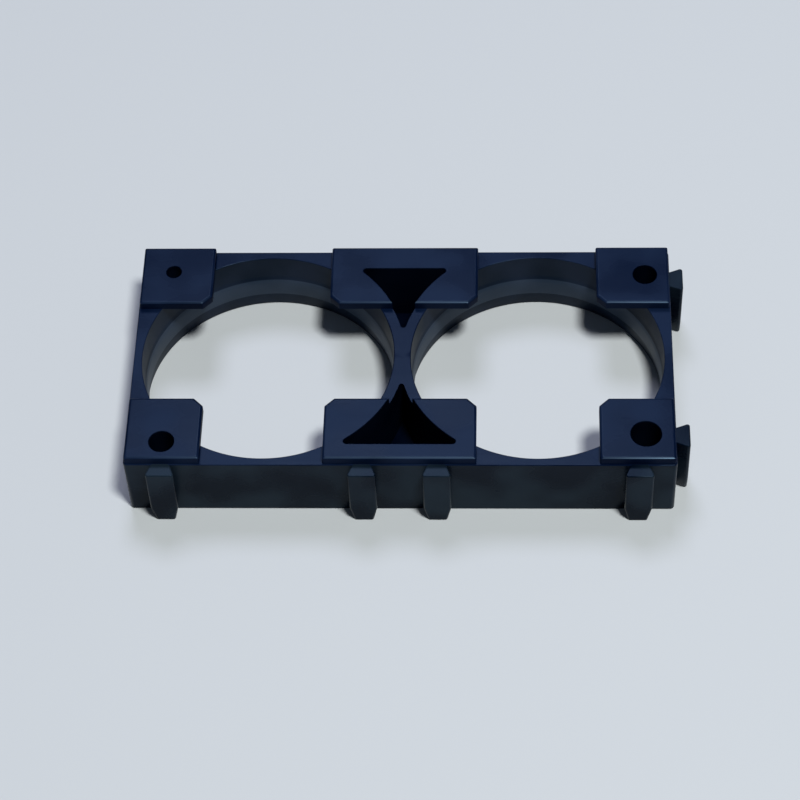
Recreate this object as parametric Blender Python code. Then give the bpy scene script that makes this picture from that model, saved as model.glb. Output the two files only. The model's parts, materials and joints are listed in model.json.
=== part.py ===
# Moulded bracket that holds the ends of round battery cells side by side.
# Each cell goes in from below and stops under flat pads, and the slots between
# the pads leave room for the metal strips that join the cells. Tapered ribs on
# the front and on the right slide into matching grooves of the next bracket.
# Metres, +Z up. The origin is under the middle of the frame, on its flat base.

import math

import bmesh
import bpy

# Cells
cell_count = 2
cell_radius = 0.00925  # grip ring round the cell
bore_relief = 0.000125  # the bore is this much wider above the grip ring
bore_mouth_flare = 0.00025  # and this much wider at the base
grip_low = 0.00145
grip_high = 0.00345
bridge_wall = 0.00125  # thinnest wall between two bores

# Frame
deck_height = 0.0055
frame_corner_round = 0.0003
base_edge_bevel = 0.0001

# Pads
pad_thickness = 0.0007
pad_inset = 0.0001  # pads stand this far inside the frame's faces
pad_chamfer = 0.0007
pad_edge_round = 0.0002
strip_slot_width = 0.0089  # free width between pads

# Ribs and grooves
rib_reach = 0.001
rib_outer_width = 0.0022
rib_neck_width = 0.0014
rib_inset = 0.0027  # from the edge of a cell's square to the middle of the rib
rib_lead = 0.0003  # each flank draws in by this at the base
rib_lead_height = 0.0014
rib_edge_round = 0.00015
rib_root = 0.0005  # sunk into the frame, so that the two become one solid
groove_clearance = 0.0001

# Pockets beside the bores
pocket_bore_wall = 0.0008
pocket_front_wall = 0.00142
pocket_groove_wall = 0.00111
pocket_fillet = 0.00022
core_bore_wall = 0.00065
core_groove_wall = 0.00085
core_right_wall = 0.00108
core_front_left_wall = 0.00069
core_front_right_wall = 0.00122
floor_thickness = 0.0008  # closed underside of pockets and core holes

# How finely curves are drawn
bore_steps = 96
core_steps = 32
fillet_steps = 6
wall_steps = 14
edge_steps = 3
overshoot = 0.001  # how far a cutter runs past the faces that it cuts

# Worked out from the values above
relief_radius = cell_radius + bore_relief
mouth_radius = cell_radius + bore_mouth_flare
cell_pitch = 2 * relief_radius + bridge_wall
frame_length = cell_count * cell_pitch
frame_depth = cell_pitch
pad_top = deck_height + pad_thickness
groove_depth = rib_reach + groove_clearance
rib_offset = cell_pitch / 2 - rib_inset
cell_places = [(i - (cell_count - 1) / 2) * cell_pitch for i in range(cell_count)]
bridge_places = [(a + b) / 2 for a, b in zip(cell_places, cell_places[1:])]


def clear_scene():
    for obj in list(bpy.data.objects):
        bpy.data.objects.remove(obj, do_unlink=True)


def black_plastic():
    material = bpy.data.materials.new("black moulded plastic")
    material.use_nodes = True
    shader = material.node_tree.nodes["Principled BSDF"]
    shader.inputs["Base Color"].default_value = (0.012, 0.013, 0.017, 1)
    shader.inputs["Roughness"].default_value = 0.28
    shader.inputs["Metallic"].default_value = 0
    return material


def as_object(name, bm):
    bmesh.ops.recalc_face_normals(bm, faces=bm.faces[:])
    mesh = bpy.data.meshes.new(name)
    bm.to_mesh(mesh)
    bm.free()
    obj = bpy.data.objects.new(name, mesh)
    bpy.context.scene.collection.objects.link(obj)
    return obj


def loft(name, sections):
    """A closed solid through level outlines: each section is a height and its points."""
    bm = bmesh.new()
    rings = [[bm.verts.new((x, y, z)) for x, y in outline] for z, outline in sections]
    for low, high in zip(rings, rings[1:]):
        for i, corner in enumerate(low):
            j = (i + 1) % len(low)
            bm.faces.new((corner, low[j], high[j], high[i]))
    bm.faces.new(rings[0][::-1])
    bm.faces.new(rings[-1])
    return as_object(name, bm)


def arc(centre, radius, start, end, steps):
    turns = (start + (end - start) * i / steps for i in range(steps + 1))
    return [(centre[0] + radius * math.cos(t), centre[1] + radius * math.sin(t)) for t in turns]


def circle(centre, radius, steps):
    return arc(centre, radius, 0, 2 * math.pi, steps)[:-1]


def rounded_rectangle(length, depth, radius):
    points = []
    for turn, (x, y) in enumerate(((1, 1), (-1, 1), (-1, -1), (1, -1))):
        centre = (x * (length / 2 - radius), y * (depth / 2 - radius))
        points += arc(centre, radius, turn * math.pi / 2, (turn + 1) * math.pi / 2, fillet_steps)
    return points


def frame_block():
    bevel = base_edge_bevel
    foot = rounded_rectangle(frame_length - 2 * bevel, frame_depth - 2 * bevel, frame_corner_round)
    full = rounded_rectangle(frame_length, frame_depth, frame_corner_round)
    return loft("frame", [(0, foot), (bevel, full), (deck_height, full)])


def cell_bore(x):
    """Flared mouth, grip ring with a sloped upper edge, and a wider part under the pads."""
    steps = (
        (-overshoot, mouth_radius),
        (0, mouth_radius),
        (grip_low, cell_radius),
        (grip_high - bore_relief, cell_radius),
        (grip_high, relief_radius),
        (deck_height + overshoot, relief_radius),
    )
    return loft("bore", [(z, circle((x, 0), radius, bore_steps)) for z, radius in steps])


def soften(solid, amount, chosen):
    """Rounds the edges that chosen picks by their two ends."""
    bm = bmesh.new()
    bm.from_mesh(solid.data)
    edges = [e for e in bm.edges if chosen(e.verts[0].co, e.verts[1].co)]
    bmesh.ops.bevel(
        bm,
        geom=edges,
        offset=amount,
        segments=edge_steps,
        affect="EDGES",
        profile=0.5,
    )
    bm.to_mesh(solid.data)
    bm.free()


def pad(name, low_x, high_x, end, low_cut, high_cut):
    """Flat plate at the front (end -1) or rear (end 1), with its inner corners cut off."""
    outer_y = frame_depth / 2 - pad_inset
    inner_y = strip_slot_width / 2
    points = [
        (low_x, outer_y),
        (high_x, outer_y),
        (high_x, inner_y + high_cut),
        (high_x - high_cut, inner_y),
        (low_x + low_cut, inner_y),
        (low_x, inner_y + low_cut),
    ]
    outline = [(x, end * y) for x, y in dict.fromkeys(points)]  # an uncut corner counts once
    plate = loft(name, [(deck_height, outline), (pad_top, outline)])
    half_way = deck_height + pad_thickness / 2
    soften(plate, pad_edge_round, lambda a, b: min(a.z, b.z) > half_way)
    return plate


def pads():
    outer_x = frame_length / 2 - pad_inset
    slot = strip_slot_width / 2
    made = []
    for end in (-1, 1):
        made.append(pad("left pad", -outer_x, cell_places[0] - slot, end, 0, pad_chamfer))
        made.append(pad("right pad", cell_places[-1] + slot, outer_x, end, pad_chamfer, 0))
        for a, b in zip(cell_places, cell_places[1:]):
            made.append(pad("middle pad", a + slot, b - slot, end, pad_chamfer, pad_chamfer))
    return made


def dovetail(reach, outer_width, neck_width, root):
    """Outline of a rib that points along -Y from a face at y = 0, rooted behind it."""
    return [
        (neck_width / 2, root),
        (neck_width / 2, 0),
        (outer_width / 2, -reach),
        (-outer_width / 2, -reach),
        (-neck_width / 2, 0),
        (-neck_width / 2, root),
    ]


def rib(name):
    full = dovetail(rib_reach, rib_outer_width, rib_neck_width, rib_root)
    foot_outer = rib_outer_width - 2 * rib_lead
    foot_neck = rib_neck_width - 2 * rib_lead
    foot = dovetail(rib_reach, foot_outer, foot_neck, rib_root)
    made = loft(name, [(0, foot), (rib_lead_height, full), (deck_height, full)])
    soften(made, rib_edge_round, lambda a, b: a.z != b.z and max(a.y, b.y) < -rib_reach / 2)
    return made


def ribs():
    made = []
    for x in cell_places:
        for side in (-1, 1):
            front = rib("front rib")
            front.location = (x + side * rib_offset, -frame_depth / 2, 0)
            made.append(front)
    for side in (-1, 1):
        right = rib("right rib")
        right.location = (frame_length / 2, side * rib_offset, 0)
        right.rotation_euler.z = math.pi / 2
        made.append(right)
    return made


def groove(name):
    """The rib's outline grown by the clearance, open at the base and at the face."""
    slope = (rib_outer_width - rib_neck_width) / rib_reach
    neck = rib_neck_width + 2 * groove_clearance
    inner = neck + slope * groove_depth
    mouth = neck - slope * overshoot
    outline = [
        (mouth / 2, overshoot),
        (inner / 2, -groove_depth),
        (-inner / 2, -groove_depth),
        (-mouth / 2, overshoot),
    ]
    return loft(name, [(-overshoot, outline), (deck_height + overshoot, outline)])


def grooves():
    made = []
    for x in cell_places:
        for side in (-1, 1):
            rear = groove("rear groove")
            rear.location = (x + side * rib_offset, frame_depth / 2, 0)
            made.append(rear)
    for side in (-1, 1):
        left = groove("left groove")
        left.location = (-frame_length / 2, side * rib_offset, 0)
        left.rotation_euler.z = math.pi / 2
        made.append(left)
    return made


def pocket(x, end):
    """Three-sided pocket between two bores, its flat side towards the front or rear."""
    wall = pocket_front_wall if end < 0 else groove_depth + pocket_groove_wall
    flat_y = frame_depth / 2 - wall
    side_radius = relief_radius + pocket_bore_wall
    reach = side_radius + pocket_fillet
    half = cell_pitch / 2
    corner_y = flat_y - pocket_fillet
    corner_x = half - math.sqrt(reach**2 - corner_y**2)
    tip_y = math.sqrt(reach**2 - half**2)
    corner_turn = math.atan2(corner_y, half - corner_x)
    tip_turn = math.atan2(tip_y, half)
    points = arc((corner_x, corner_y), pocket_fillet, math.pi / 2, -corner_turn, fillet_steps)
    points += arc((half, 0), side_radius, math.pi - corner_turn, math.pi - tip_turn, wall_steps)[1:-1]
    points += arc((0, tip_y), pocket_fillet, -tip_turn, tip_turn - math.pi, fillet_steps)
    points += arc((-half, 0), side_radius, tip_turn, corner_turn, wall_steps)[1:-1]
    points += arc((-corner_x, corner_y), pocket_fillet, math.pi + corner_turn, math.pi / 2, fillet_steps)
    outline = [(x + px, end * py) for px, py in points]
    return loft("pocket", [(floor_thickness, outline), (pad_top + overshoot, outline)])


def core_hole(side, end):
    """Round blind hole in a corner, as wide as the walls left around it allow."""
    if side > 0:
        side_wall = core_right_wall
    else:
        side_wall = groove_depth + core_groove_wall
    if end > 0:
        end_wall = groove_depth + core_groove_wall
    else:
        end_wall = core_front_right_wall if side > 0 else core_front_left_wall
    cell_x = cell_places[-1] if side > 0 else -cell_places[0]
    reach_x = frame_length / 2 - side_wall - cell_x
    reach_y = frame_depth / 2 - end_wall
    blocked = relief_radius + core_bore_wall
    total = reach_x + reach_y + blocked
    radius = total - math.sqrt(total**2 - reach_x**2 - reach_y**2 + blocked**2)
    centre = (side * (cell_x + reach_x - radius), end * (reach_y - radius))
    outline = circle(centre, radius, core_steps)
    return loft("core hole", [(floor_thickness, outline), (pad_top + overshoot, outline)])


def combine(target, tools, operation):
    """Boolean with a group of helper shapes, which stay out of the render."""
    group = bpy.data.collections.new(operation.lower())
    bpy.context.scene.collection.children.link(group)
    for tool in tools:
        bpy.context.scene.collection.objects.unlink(tool)
        group.objects.link(tool)
        tool.hide_render = True
        tool.display_type = "WIRE"
    boolean = target.modifiers.new(operation.lower(), "BOOLEAN")
    boolean.operation = operation
    boolean.operand_type = "COLLECTION"
    boolean.collection = group
    boolean.solver = "EXACT"


def bracket():
    body = frame_block()
    combine(body, [cell_bore(x) for x in cell_places] + grooves(), "DIFFERENCE")
    combine(body, pads(), "UNION")
    combine(body, ribs(), "UNION")
    pockets = [pocket(x, end) for x in bridge_places for end in (-1, 1)]
    cores = [core_hole(side, end) for side in (-1, 1) for end in (-1, 1)]
    combine(body, pockets + cores, "DIFFERENCE")
    return body


def finish(body, name, material):
    """Keeps the finished solid as one mesh, smooth where it is round."""
    depsgraph = bpy.context.evaluated_depsgraph_get()
    mesh = bpy.data.meshes.new_from_object(body.evaluated_get(depsgraph))
    mesh.name = name
    mesh.materials.clear()
    mesh.materials.append(material)
    mesh.shade_smooth()
    mesh.set_sharp_from_angle(angle=math.radians(25))
    obj = bpy.data.objects.new(name, mesh)
    bpy.context.scene.collection.objects.link(obj)
    for helper in [o for o in bpy.data.objects if o is not obj]:
        bpy.data.objects.remove(helper, do_unlink=True)
    return obj


clear_scene()
finish(bracket(), "cell_holder_bracket", black_plastic())
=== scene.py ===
import json
import math

import bmesh
import bpy
from mathutils import Matrix, Vector

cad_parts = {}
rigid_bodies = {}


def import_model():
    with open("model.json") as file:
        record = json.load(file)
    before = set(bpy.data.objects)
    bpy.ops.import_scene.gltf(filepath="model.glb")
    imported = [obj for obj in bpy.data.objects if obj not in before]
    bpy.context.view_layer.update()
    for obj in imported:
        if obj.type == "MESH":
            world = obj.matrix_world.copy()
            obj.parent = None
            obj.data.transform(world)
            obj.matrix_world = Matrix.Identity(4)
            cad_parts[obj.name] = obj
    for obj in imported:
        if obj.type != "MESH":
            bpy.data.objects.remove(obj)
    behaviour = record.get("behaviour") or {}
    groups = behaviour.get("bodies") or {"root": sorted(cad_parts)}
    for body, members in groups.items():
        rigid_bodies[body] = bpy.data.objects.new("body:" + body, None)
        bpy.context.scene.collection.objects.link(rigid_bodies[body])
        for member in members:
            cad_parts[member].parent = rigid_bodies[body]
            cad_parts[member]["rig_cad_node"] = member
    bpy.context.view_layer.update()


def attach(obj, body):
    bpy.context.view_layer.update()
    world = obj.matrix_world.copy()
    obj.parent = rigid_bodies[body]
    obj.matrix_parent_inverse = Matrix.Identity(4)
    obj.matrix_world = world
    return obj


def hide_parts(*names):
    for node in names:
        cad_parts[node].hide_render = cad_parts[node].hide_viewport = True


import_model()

# Sizes are in metres, in the CAD's frame: +X towards the ribbed end, +Y to the grooved rear, +Z up.

softSteps = 4  # faces across a softened edge
weldDistance = 1e-7

# the places of the finishes in the mesh's list of materials; the colours of the top, side, grip and bore
# finishes hold painted reflections, that of the hole finish painted shade
topPaintedSkyFinish, gripFinish, holePaintedShadeFinish, borePaintedReflectionFinish, edgeFinish, rimFinish, sidePaintedFloorFinish = range(7)


# Mesh helpers

def newObject(name, bm):
    bmesh.ops.recalc_face_normals(bm, faces=bm.faces[:])
    mesh = bpy.data.meshes.new(name)
    bm.to_mesh(mesh)
    bm.free()
    obj = bpy.data.objects.new(name, mesh)
    bpy.context.scene.collection.objects.link(obj)
    return obj


def loft(name, sections):
    # a closed solid through level outlines, each with its height
    bm = bmesh.new()
    rings = [[bm.verts.new((x, y, z)) for x, y in outline] for z, outline in sections]
    for low, high in zip(rings, rings[1:]):
        for i, corner in enumerate(low):
            j = (i + 1) % len(low)
            bm.faces.new((corner, low[j], high[j], high[i]))
    bm.faces.new(rings[0][::-1])
    bm.faces.new(rings[-1])
    return newObject(name, bm)


def arc(centre, radius, start, end, steps):
    turns = (start + (end - start) * i / steps for i in range(steps + 1))
    return [(centre[0] + radius * math.cos(t), centre[1] + radius * math.sin(t)) for t in turns]


def circle(centre, radius, steps):
    return arc(centre, radius, 0, 2 * math.pi, steps)[:-1]


def roundedRectangle(length, depth, radius, steps):
    points = []
    for turn, (x, y) in enumerate(((1, 1), (-1, 1), (-1, -1), (1, -1))):
        centre = (x * (length / 2 - radius), y * (depth / 2 - radius))
        points += arc(centre, radius, turn * math.pi / 2, (turn + 1) * math.pi / 2, steps)
    return points


def rimCurve(size):
    # a quarter round that leaves a wall and runs out on to a face: (along the wall, across it)
    turns = (math.pi / 2 * i / softSteps for i in range(softSteps + 1))
    return [(size * math.sin(t), size * (1 - math.cos(t))) for t in turns]


def cornerArc(before, corner, after, radius, steps):
    # one corner of an outline, rounded
    a, c, b = Vector(before), Vector(corner), Vector(after)
    toA, toB = (a - c).normalized(), (b - c).normalized()
    half = toA.angle(toB) / 2
    centre = c + (toA + toB).normalized() * (radius / math.sin(half))
    start = c + toA * (radius / math.tan(half)) - centre
    bend = (math.pi - 2 * half) * (1 if (c - a).cross(b - c) > 0 else -1)
    return [tuple(centre + Matrix.Rotation(bend * i / steps, 2) @ start) for i in range(steps + 1)]


def combine(target, tools, operation):
    group = bpy.data.collections.new(operation.lower())
    bpy.context.scene.collection.children.link(group)
    for tool in tools:
        bpy.context.scene.collection.objects.unlink(tool)
        group.objects.link(tool)
    boolean = target.modifiers.new(operation.lower(), "BOOLEAN")
    boolean.operation = operation
    boolean.operand_type = "COLLECTION"
    boolean.collection = group
    boolean.solver = "EXACT"


# Frame with the two cell bores

frameShape = {
    "cellPlaces": (-0.010, 0.010),
    "length": 0.0400,
    "depth": 0.0200,
    "deckHeight": 0.0055,
    "cornerRound": 0.0003,
    "baseRound": 0.0001,
    "deckEdgeRound": 0.00007,
    "gripRadius": 0.00925,
    "reliefRadius": 0.009375,
    "mouthRadius": 0.0095,
    "mouthRound": 0.00012,
    "gripLow": 0.00145,
    "gripHigh": 0.00265,
    "reliefLow": 0.00350,
    "ringSteps": 8,
    "boreSteps": 192,
    "cornerSteps": 8,
    "overshoot": 0.001,  # how far a cutter stands out of the solid
}


def frameBlock():
    s = frameShape
    top = s["deckHeight"]

    def outline(inset):
        length, depth = s["length"] - 2 * inset, s["depth"] - 2 * inset
        return roundedRectangle(length, depth, s["cornerRound"] - inset, s["cornerSteps"])

    foot, rim = s["baseRound"], s["deckEdgeRound"]
    sections = [(foot - along, outline(across)) for along, across in rimCurve(foot)[::-1]]
    sections += [(top - rim + along, outline(across)) for along, across in rimCurve(rim)]
    return loft("frameBlock", sections)


def boreCutter(x):
    s = frameShape
    top, foot, rim = s["deckHeight"], s["mouthRound"], s["deckEdgeRound"]
    profile = [(-s["overshoot"], s["mouthRadius"] + foot)]
    profile += [(foot - along, s["mouthRadius"] + across) for along, across in rimCurve(foot)[::-1]]
    profile.append((s["gripLow"], s["gripRadius"]))
    step = s["reliefRadius"] - s["gripRadius"]
    for i in range(s["ringSteps"] + 1):
        part = i / s["ringSteps"]
        height = s["gripHigh"] + (s["reliefLow"] - s["gripHigh"]) * part
        profile.append((height, s["gripRadius"] + step * (1 - math.cos(math.pi * part)) / 2))
    profile += [(top - rim + along, s["reliefRadius"] + across) for along, across in rimCurve(rim)]
    profile.append((top + s["overshoot"], s["reliefRadius"] + rim))
    return loft("bore", [(z, circle((x, 0), radius, s["boreSteps"])) for z, radius in profile])


# Retaining pads

padShape = {
    "thickness": 0.0007,
    "inset": 0.0001,
    "chamfer": 0.0007,
    "slotWidth": 0.0089,
    "cornerRound": 0.00012,
    "cornerSteps": 3,
    # the top edge, up the side and across the top: a small round, then a shallow slope
    "rim": ((0, 0), (0.000025, 0.000005), (0.000048, 0.000022), (0.000063, 0.000045),
            (0.000118, 0.000155), (0.000126, 0.000195)),
}


def pad(name, lowX, highX, end, lowCut, highCut):
    s = padShape
    low = frameShape["deckHeight"]
    rimFoot = low + s["thickness"] - s["rim"][-1][0]
    outerY = frameShape["depth"] / 2 - s["inset"]
    innerY = s["slotWidth"] / 2

    def outline(inset):
        # the cut corners keep their slope as the outline draws in
        cut = inset * (2 - math.sqrt(2))
        ax, bx, ay, by = lowX + inset, highX - inset, innerY + inset, outerY - inset
        lowSlant, highSlant = max(lowCut - cut, 0), max(highCut - cut, 0)
        points = list(dict.fromkeys([(ax, by), (bx, by), (bx, ay + highSlant), (bx - highSlant, ay),
                                     (ax + lowSlant, ay), (ax, ay + lowSlant)]))
        rounded = []
        for i, corner in enumerate(points):
            after = points[(i + 1) % len(points)]
            rounded += cornerArc(points[i - 1], corner, after, s["cornerRound"], s["cornerSteps"])
        return [(x, end * y) for x, y in rounded]

    sections = [(low, outline(0))]
    sections += [(rimFoot + along, outline(across)) for along, across in s["rim"]]
    return loft(name, sections)


def makePads():
    outerX = frameShape["length"] / 2 - padShape["inset"]
    slot, cut = padShape["slotWidth"] / 2, padShape["chamfer"]
    left, right = frameShape["cellPlaces"]
    made = []
    for end in (-1, 1):
        made.append(pad("leftPad", -outerX, left - slot, end, 0, cut))
        made.append(pad("middlePad", left + slot, right - slot, end, cut, cut))
        made.append(pad("rightPad", right + slot, outerX, end, cut, 0))
    return made


# Joining ribs and grooves

ribShape = {
    "reach": 0.001,
    "outerWidth": 0.0022,
    "neckWidth": 0.0014,
    "offset": 0.0073,
    "lead": 0.0003,
    "leadHeight": 0.0014,
    "root": 0.0005,
    "edgeRound": 0.00018,
    "rimRound": 0.00009,
    "clearance": 0.0001,
    "lipRound": 0.0001,
}


def dovetail(inset, lead):
    # outline of a rib that points along -Y, with its two outer corners rounded
    s = ribShape
    slope = (s["outerWidth"] - s["neckWidth"]) / 2 / s["reach"]
    reach = s["reach"] - inset
    neck = s["neckWidth"] / 2 - lead - inset * math.hypot(1, slope)
    outer = neck + slope * reach
    points = [(neck, s["root"]), (neck, 0), (outer, -reach),
              (-outer, -reach), (-neck, 0), (-neck, s["root"])]
    right = cornerArc(*points[1:4], s["edgeRound"] - inset, softSteps)
    left = cornerArc(*points[2:5], s["edgeRound"] - inset, softSteps)
    return points[:2] + right + left + points[4:]


def rib(name):
    s = ribShape
    top, rim = frameShape["deckHeight"], s["rimRound"]
    sections = []
    for along, across in rimCurve(rim)[::-1]:
        height = rim - along
        sections.append((height, dovetail(across, s["lead"] * (1 - height / s["leadHeight"]))))
    sections.append((s["leadHeight"], dovetail(0, 0)))
    sections += [(top - rim + along, dovetail(across, 0)) for along, across in rimCurve(rim)]
    return loft(name, sections)


def grooveCutter(name):
    s = ribShape
    depth = s["reach"] + s["clearance"]
    slope = (s["outerWidth"] - s["neckWidth"]) / 2 / s["reach"]
    neck = s["neckWidth"] / 2 + s["clearance"]
    inner = neck + slope * depth
    mouth = neck + s["lipRound"]
    lip = neck + slope * s["lipRound"]
    out = frameShape["overshoot"]
    outline = [(mouth, out), (mouth, 0), (lip, -s["lipRound"]), (inner, -depth),
               (-inner, -depth), (-lip, -s["lipRound"]), (-mouth, 0), (-mouth, out)]
    return loft(name, [(-out, outline), (frameShape["deckHeight"] + out, outline)])


def placeAll(make, label, frontY, rightX):
    # four on the long side and two on the short side, all at the same spacing
    s, made = ribShape, []
    for x in frameShape["cellPlaces"]:
        for side in (-1, 1):
            one = make("long" + label)
            one.location = (x + side * s["offset"], frontY, 0)
            made.append(one)
    for side in (-1, 1):
        one = make("end" + label)
        one.location = (rightX, side * s["offset"], 0)
        one.rotation_euler.z = math.pi / 2
        made.append(one)
    return made


# Pockets and core holes

pocketShape = {
    "boreWall": 0.0008,
    "frontWall": 0.00142,
    "rearWall": 0.00221,
    "fillet": 0.00022,
    "floor": 0.0008,
    "draft": 0.00006,  # narrower by this at the floor
    "rimRound": 0.00006,
    "wallSteps": 28,
    "filletSteps": 8,
    "holeSteps": 48,
}

coreHoles = (  # middle x and y, radius
    (-0.01751, 0.00749, 0.00055),
    (0.01811, 0.00717, 0.000875),
    (-0.01724, -0.00841, 0.0009),
    (0.01778, -0.00769, 0.0011),
)


def pocketOutline(end, grow):
    s = pocketShape
    fillet = s["fillet"] + grow
    wall = s["frontWall"] if end < 0 else s["rearWall"]
    flatY = frameShape["depth"] / 2 - wall + grow
    sideRadius = frameShape["reliefRadius"] + s["boreWall"] - grow
    reach = sideRadius + fillet
    half = frameShape["cellPlaces"][1]
    cornerY = flatY - fillet
    cornerX = half - math.sqrt(reach**2 - cornerY**2)
    tipY = math.sqrt(reach**2 - half**2)
    cornerTurn, tipTurn = math.atan2(cornerY, half - cornerX), math.atan2(tipY, half)
    n, m = s["filletSteps"], s["wallSteps"]
    points = arc((cornerX, cornerY), fillet, math.pi / 2, -cornerTurn, n)
    points += arc((half, 0), sideRadius, math.pi - cornerTurn, math.pi - tipTurn, m)[1:-1]
    points += arc((0, tipY), fillet, -tipTurn, tipTurn - math.pi, n)
    points += arc((-half, 0), sideRadius, tipTurn, cornerTurn, m)[1:-1]
    points += arc((-cornerX, cornerY), fillet, math.pi + cornerTurn, math.pi / 2, n)
    return [(x, end * y) for x, y in points]


def blindCutter(name, outline):
    # outline takes how far the hole grows: a little less at its floor, a little more at its rim
    s = pocketShape
    top, rim = frameShape["deckHeight"] + padShape["thickness"], s["rimRound"]
    sections = [(s["floor"], outline(-s["draft"] * 2)), (s["floor"] + s["draft"], outline(-s["draft"]))]
    sections += [(top - rim + along, outline(across)) for along, across in rimCurve(rim)]
    sections.append((top + frameShape["overshoot"], outline(rim)))
    cutter = loft(name, sections)
    for face in cutter.data.polygons:
        # the holes' walls and floors take the colour with painted shade
        face.material_index = holePaintedShadeFinish
    return cutter


def makePockets():
    made = [blindCutter("pocket", lambda grow, end=end: pocketOutline(end, grow)) for end in (-1, 1)]
    for x, y, radius in coreHoles:
        def outline(grow, middle=(x, y), radius=radius):
            return circle(middle, radius + grow, pocketShape["holeSteps"])

        made.append(blindCutter("coreHole", outline))
    return made


# Black plastic

plasticLook = {
    # each colour as its darker and its lighter patches
    # top: the plastic's own dark navy, made bluer as a painted sky reflection on faces that look up
    "top": ((0.0006, 0.0042, 0.0200), (0.0050, 0.0122, 0.0370)),
    # side: the plastic's own dark navy, greyer and greener as a painted floor reflection on the walls
    "side": ((0.0002, 0.0024, 0.0085), (0.0100, 0.0190, 0.0300)),
    # grip: much lighter than the plastic's own dark navy, a painted reflection of the lit floor on the
    # band in the bores
    "grip": ((0.0160, 0.0270, 0.0480), (0.0340, 0.0500, 0.0800)),
    # bore: lighter and bluer than the plastic's own dark navy, a painted reflection on the other walls of
    # the bores
    "bore": ((0.0020, 0.0070, 0.0180), (0.0120, 0.0200, 0.0400)),
    # each roughness from its smoothest to its roughest patches
    "roughness": (0.24, 0.34),
    "boreRoughness": (0.46, 0.56),
    "rimRoughness": (0.30, 0.38),
    "specular": 0.095,
    "gripSpecular": 0.25,
    "boreSpecular": 0.11,
    "edgeSpecular": 0.04,
    "rimSpecular": 0.26,
    "holeSpecular": 0.02,
    # painted shade: the colours of deep holes are darkened by this
    "holePaintedShade": 0.3,  # deep holes stay darker
    # the tint of the specular, a painted blue sky reflection
    "paintedSkyTint": (0.44, 0.71, 1.0, 1),
    "mottleScale": 260,
    "mottleSpread": (0.34, 0.66),
    "mottleStrength": 0.25,
    "mottleDepth": 0.00001,
    "grainScale": 3600,
    "grainStrength": 0.1,
    "grainDepth": 0.000003,
    "streakScale": 1600,
    "streakStretch": (0.12, 1, 0.5),  # long along X
    "wearSpread": (0.4, 1.6),
}


def plastic(name, roughness, specular, colours=plasticLook["top"], paintedShade=1.0):
    # mottled plastic with a fine grain and faint streaks; its last argument darkens both of its colours,
    # as painted shade
    look = plasticLook
    material = bpy.data.materials.new(name)
    material.use_nodes = True
    tree = material.node_tree
    shader = tree.nodes["Principled BSDF"]
    shader.inputs["Specular IOR Level"].default_value = specular
    # painted sky reflection: the specular is tinted blue
    shader.inputs["Specular Tint"].default_value = look["paintedSkyTint"]

    def node(kind, **values):
        made = tree.nodes.new(kind)
        for key, value in values.items():
            if hasattr(made, key):
                setattr(made, key, value)
            else:
                made.inputs[key].default_value = value
        return made

    place = node("ShaderNodeTexCoord")
    mottle = node("ShaderNodeTexNoise", Scale=look["mottleScale"], Detail=1.5, Roughness=0.4)
    grain = node("ShaderNodeTexNoise", Scale=look["grainScale"], Detail=3, Roughness=0.55)
    stretch = node("ShaderNodeMapping", vector_type="POINT")
    stretch.inputs["Scale"].default_value = look["streakStretch"]
    streak = node("ShaderNodeTexNoise", Scale=look["streakScale"], Detail=2, Roughness=0.5)
    spread = node("ShaderNodeMapRange", interpolation_type="SMOOTHSTEP")
    spread.inputs["From Min"].default_value = look["mottleSpread"][0]
    spread.inputs["From Max"].default_value = look["mottleSpread"][1]
    tree.links.new(place.outputs["Object"], mottle.inputs["Vector"])
    tree.links.new(mottle.outputs["Fac"], spread.inputs["Value"])
    tree.links.new(place.outputs["Object"], grain.inputs["Vector"])
    tree.links.new(place.outputs["Object"], stretch.inputs["Vector"])
    tree.links.new(stretch.outputs["Vector"], streak.inputs["Vector"])

    colour = node("ShaderNodeMix", data_type="RGBA")
    for socket, patch in zip((6, 7), colours):  # the mix node's two colours
        colour.inputs[socket].default_value = [part * paintedShade for part in patch] + [1]
    tree.links.new(spread.outputs["Result"], colour.inputs[0])
    tree.links.new(colour.outputs[2], shader.inputs["Base Color"])

    both = node("ShaderNodeMath", operation="ADD")
    tree.links.new(spread.outputs["Result"], both.inputs[0])
    tree.links.new(streak.outputs["Fac"], both.inputs[1])
    rough = node("ShaderNodeMapRange")
    rough.inputs["From Min"].default_value = look["wearSpread"][0]
    rough.inputs["From Max"].default_value = look["wearSpread"][1]
    rough.inputs["To Min"].default_value = roughness[0]
    rough.inputs["To Max"].default_value = roughness[1]
    tree.links.new(both.outputs[0], rough.inputs["Value"])
    tree.links.new(rough.outputs["Result"], shader.inputs["Roughness"])

    fine = node("ShaderNodeBump", Strength=look["grainStrength"], Distance=look["grainDepth"])
    tree.links.new(grain.outputs["Fac"], fine.inputs["Height"])
    broad = node("ShaderNodeBump", Strength=look["mottleStrength"], Distance=look["mottleDepth"])
    tree.links.new(mottle.outputs["Fac"], broad.inputs["Height"])
    tree.links.new(fine.outputs["Normal"], broad.inputs["Normal"])
    tree.links.new(broad.outputs["Normal"], shader.inputs["Normal"])
    return material


# The bracket, joined from its solids

bracketLook = {
    "steepest": 0.6,  # up-and-down part of the normal, for walls of the bores
    "padSide": 0.25,  # the same, for sides of the pads
    "padTop": 0.995,  # and for their tops
    "sharpAngle": 35,  # degrees
    "flatWeight": 90,
}


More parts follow.
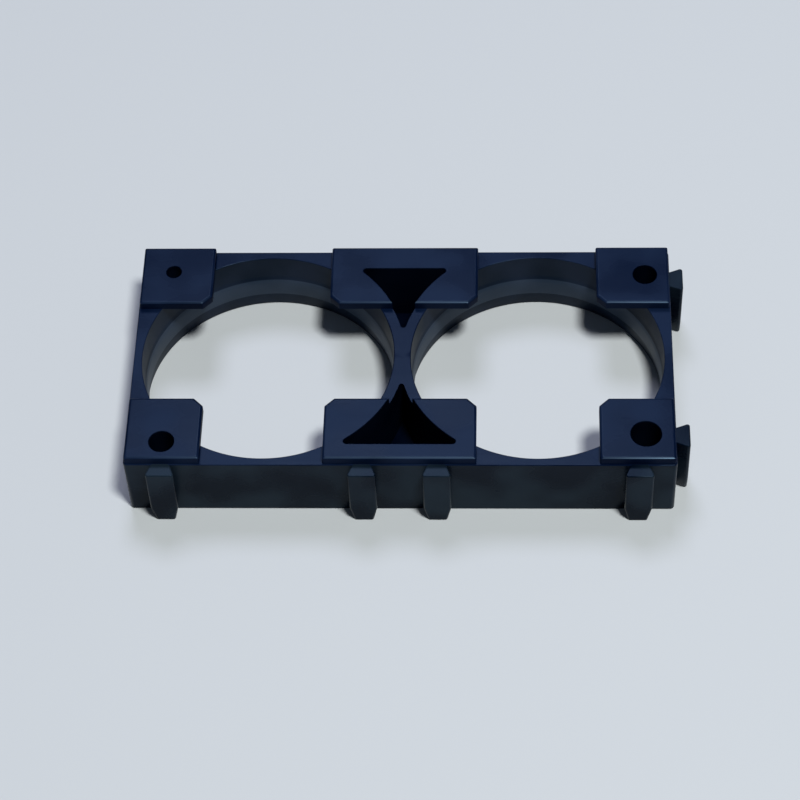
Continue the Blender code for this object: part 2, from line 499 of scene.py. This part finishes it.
def makeFinishes():
    # in the order of the finish numbers
    look = plasticLook
    return (plastic("blackPlasticPaintedSky", look["roughness"], look["specular"]),
            plastic("blackPlasticGripPaintedReflection", look["boreRoughness"], look["gripSpecular"], look["grip"]),
            plastic("blackPlasticHolePaintedShade", look["roughness"], look["holeSpecular"], paintedShade=look["holePaintedShade"]),
            plastic("blackPlasticBorePaintedReflection", look["boreRoughness"], look["boreSpecular"], look["bore"]),
            plastic("blackPlasticEdge", look["boreRoughness"], look["edgeSpecular"]),
            plastic("blackPlasticRim", look["rimRoughness"], look["rimSpecular"]),
            plastic("blackPlasticSidePaintedFloor", look["roughness"], look["specular"], look["side"]))


def finishFace(face):
    s, look = frameShape, bracketLook
    middle, tilt = face.center, abs(face.normal.z)
    near = min(s["cellPlaces"], key=lambda x: abs(middle.x - x))
    across = math.hypot(middle.x - near, middle.y)
    # walls of the bores: the grip band and the rest of the wall take colours with painted reflections
    if tilt < look["steepest"] and across < s["mouthRadius"] + s["mouthRound"]:
        if s["gripLow"] < middle.z < (s["gripHigh"] + s["reliefLow"]) / 2:
            face.material_index = gripFinish
        elif middle.z < s["deckHeight"]:
            face.material_index = borePaintedReflectionFinish
    if middle.z > s["deckHeight"] + s["deckEdgeRound"] and face.material_index == topPaintedSkyFinish:
        if tilt < look["padSide"]:
            face.material_index = edgeFinish
        elif face.normal.z < look["padTop"]:
            face.material_index = rimFinish
    # walls below the deck and the ribs take the colour with a painted floor reflection; faces that look
    # up keep the one with a painted sky reflection
    below = middle.z < s["deckHeight"] - s["deckEdgeRound"]
    onRib = middle.y < -s["depth"] / 2 or middle.x > s["length"] / 2
    if (below or onRib) and face.material_index == topPaintedSkyFinish:
        face.material_index = sidePaintedFloorFinish


def makeBracket():
    s = frameShape
    body = frameBlock()
    for finish in makeFinishes():
        body.data.materials.append(finish)
    grooves = placeAll(grooveCutter, "Groove", s["depth"] / 2, -s["length"] / 2)
    combine(body, [boreCutter(x) for x in s["cellPlaces"]] + grooves, "DIFFERENCE")
    combine(body, makePads(), "UNION")
    combine(body, placeAll(rib, "Rib", -s["depth"] / 2, s["length"] / 2), "UNION")
    combine(body, makePockets(), "DIFFERENCE")
    graph = bpy.context.evaluated_depsgraph_get()
    mesh = bpy.data.meshes.new_from_object(body.evaluated_get(graph))
    made = bpy.data.objects.new("cellHolder", mesh)
    bpy.context.scene.collection.objects.link(made)
    # the solids and cutters are in the mesh now
    spent = [o for o in bpy.data.objects
             if o.type == "MESH" and o is not made and not o.get("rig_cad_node")]
    for piece in spent:
        bpy.data.objects.remove(piece, do_unlink=True)
    for group in list(bpy.data.collections):
        bpy.data.collections.remove(group)

    bm = bmesh.new()
    bm.from_mesh(mesh)
    bmesh.ops.remove_doubles(bm, verts=bm.verts, dist=weldDistance)
    bmesh.ops.dissolve_degenerate(bm, edges=bm.edges, dist=weldDistance)
    bm.to_mesh(mesh)
    bm.free()

    for face in mesh.polygons:
        finishFace(face)
    mesh.shade_smooth()
    mesh.set_sharp_from_angle(angle=math.radians(bracketLook["sharpAngle"]))
    flatten = made.modifiers.new("flatFaces", "WEIGHTED_NORMAL")
    flatten.keep_sharp = True
    flatten.weight = bracketLook["flatWeight"]
    return made


bracket = makeBracket()
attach(bracket, "root")
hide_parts("cell_holder_bracket")
print("bracket:", len(bracket.data.polygons), "faces")


# Table, light and camera

stageLook = {
    "tableColour": (0.60, 0.65, 0.67, 1),
    "tableRoughness": 0.8,
    "tableSpecular": 0.1,
    "tableSize": 3.0,
    "tableSteps": 96,
    "tableBelow": 0.00002,
    "horizon": (0.80, 0.86, 0.95, 1),
    "zenith": (0.60, 0.72, 0.95, 1),
    "zenithPlace": 0.8,
    "skyStrength": 0.08,
}


def makeTable():
    s = stageLook
    bm = bmesh.new()
    bmesh.ops.create_circle(bm, cap_ends=True, segments=s["tableSteps"], radius=s["tableSize"])
    table = newObject("table", bm)
    table.location.z = -s["tableBelow"]
    material = bpy.data.materials.new("paleTable")
    material.use_nodes = True
    shader = material.node_tree.nodes["Principled BSDF"]
    shader.inputs["Base Color"].default_value = s["tableColour"]
    shader.inputs["Roughness"].default_value = s["tableRoughness"]
    shader.inputs["Specular IOR Level"].default_value = s["tableSpecular"]
    table.data.materials.append(material)


def makeSky():
    s = stageLook
    world = bpy.data.worlds.new("softRoom")
    bpy.context.scene.world = world
    world.use_nodes = True
    tree = world.node_tree
    background = tree.nodes["Background"]
    place = tree.nodes.new("ShaderNodeTexCoord")
    split = tree.nodes.new("ShaderNodeSeparateXYZ")
    ramp = tree.nodes.new("ShaderNodeValToRGB")
    ramp.color_ramp.elements[0].color = s["horizon"]
    ramp.color_ramp.elements[1].color = s["zenith"]
    ramp.color_ramp.elements[1].position = s["zenithPlace"]
    tree.links.new(place.outputs["Generated"], split.inputs[0])
    tree.links.new(split.outputs["Z"], ramp.inputs["Fac"])
    tree.links.new(ramp.outputs["Color"], background.inputs["Color"])
    background.inputs["Strength"].default_value = s["skyStrength"]


def areaLight(name, azimuth, elevation, distance, size, power, colour):
    # angles in degrees, azimuth turned to the right from the front
    data = bpy.data.lights.new(name, "AREA")
    data.shape = "DISK"
    data.size = size
    data.energy = power
    data.color = colour
    light = bpy.data.objects.new(name, data)
    bpy.context.scene.collection.objects.link(light)
    a, e = math.radians(azimuth), math.radians(elevation)
    way = Vector((math.sin(a) * math.cos(e), -math.cos(a) * math.cos(e), math.sin(e)))
    light.location = way * distance
    light.rotation_euler = way.to_track_quat("Z", "Y").to_euler()


makeTable()
makeSky()
areaLight("keyLight", azimuth=38, elevation=70, distance=0.5, size=0.08, power=2.0,
          colour=(1.0, 0.985, 0.96))
areaLight("rearLight", azimuth=-173, elevation=62, distance=0.6, size=0.21, power=1.15,
          colour=(0.80, 0.79, 1.0))
print("table, sky and lights are in place")

cameraView = {
    "lens": 121.19,  # mm, like the sensor
    "sensor": 36,
    "nearest": 0.01,
    "farthest": 10,
    "pan": 3.979,  # degrees, like the tilt and the roll
    "tilt": 36.991,
    "roll": -3.170,
    "place": (0.0081617, -0.1225407, 0.1630656),
}


def makeCamera():
    s = cameraView
    data = bpy.data.cameras.new("photoView")
    data.lens = s["lens"]
    data.sensor_width = s["sensor"]
    data.sensor_fit = "HORIZONTAL"
    data.clip_start = s["nearest"]
    data.clip_end = s["farthest"]
    camera = bpy.data.objects.new("photoView", data)
    bpy.context.scene.collection.objects.link(camera)
    pan = Matrix.Rotation(math.radians(s["pan"]), 4, "Z")
    tilt = Matrix.Rotation(math.radians(s["tilt"]), 4, "X")
    roll = Matrix.Rotation(math.radians(s["roll"]), 4, "Z")
    camera.matrix_world = Matrix.Translation(s["place"]) @ (pan @ tilt @ roll)
    bpy.context.scene.camera = camera


makeCamera()
bpy.context.scene.view_settings.view_transform = "Standard"
print("camera is in place")
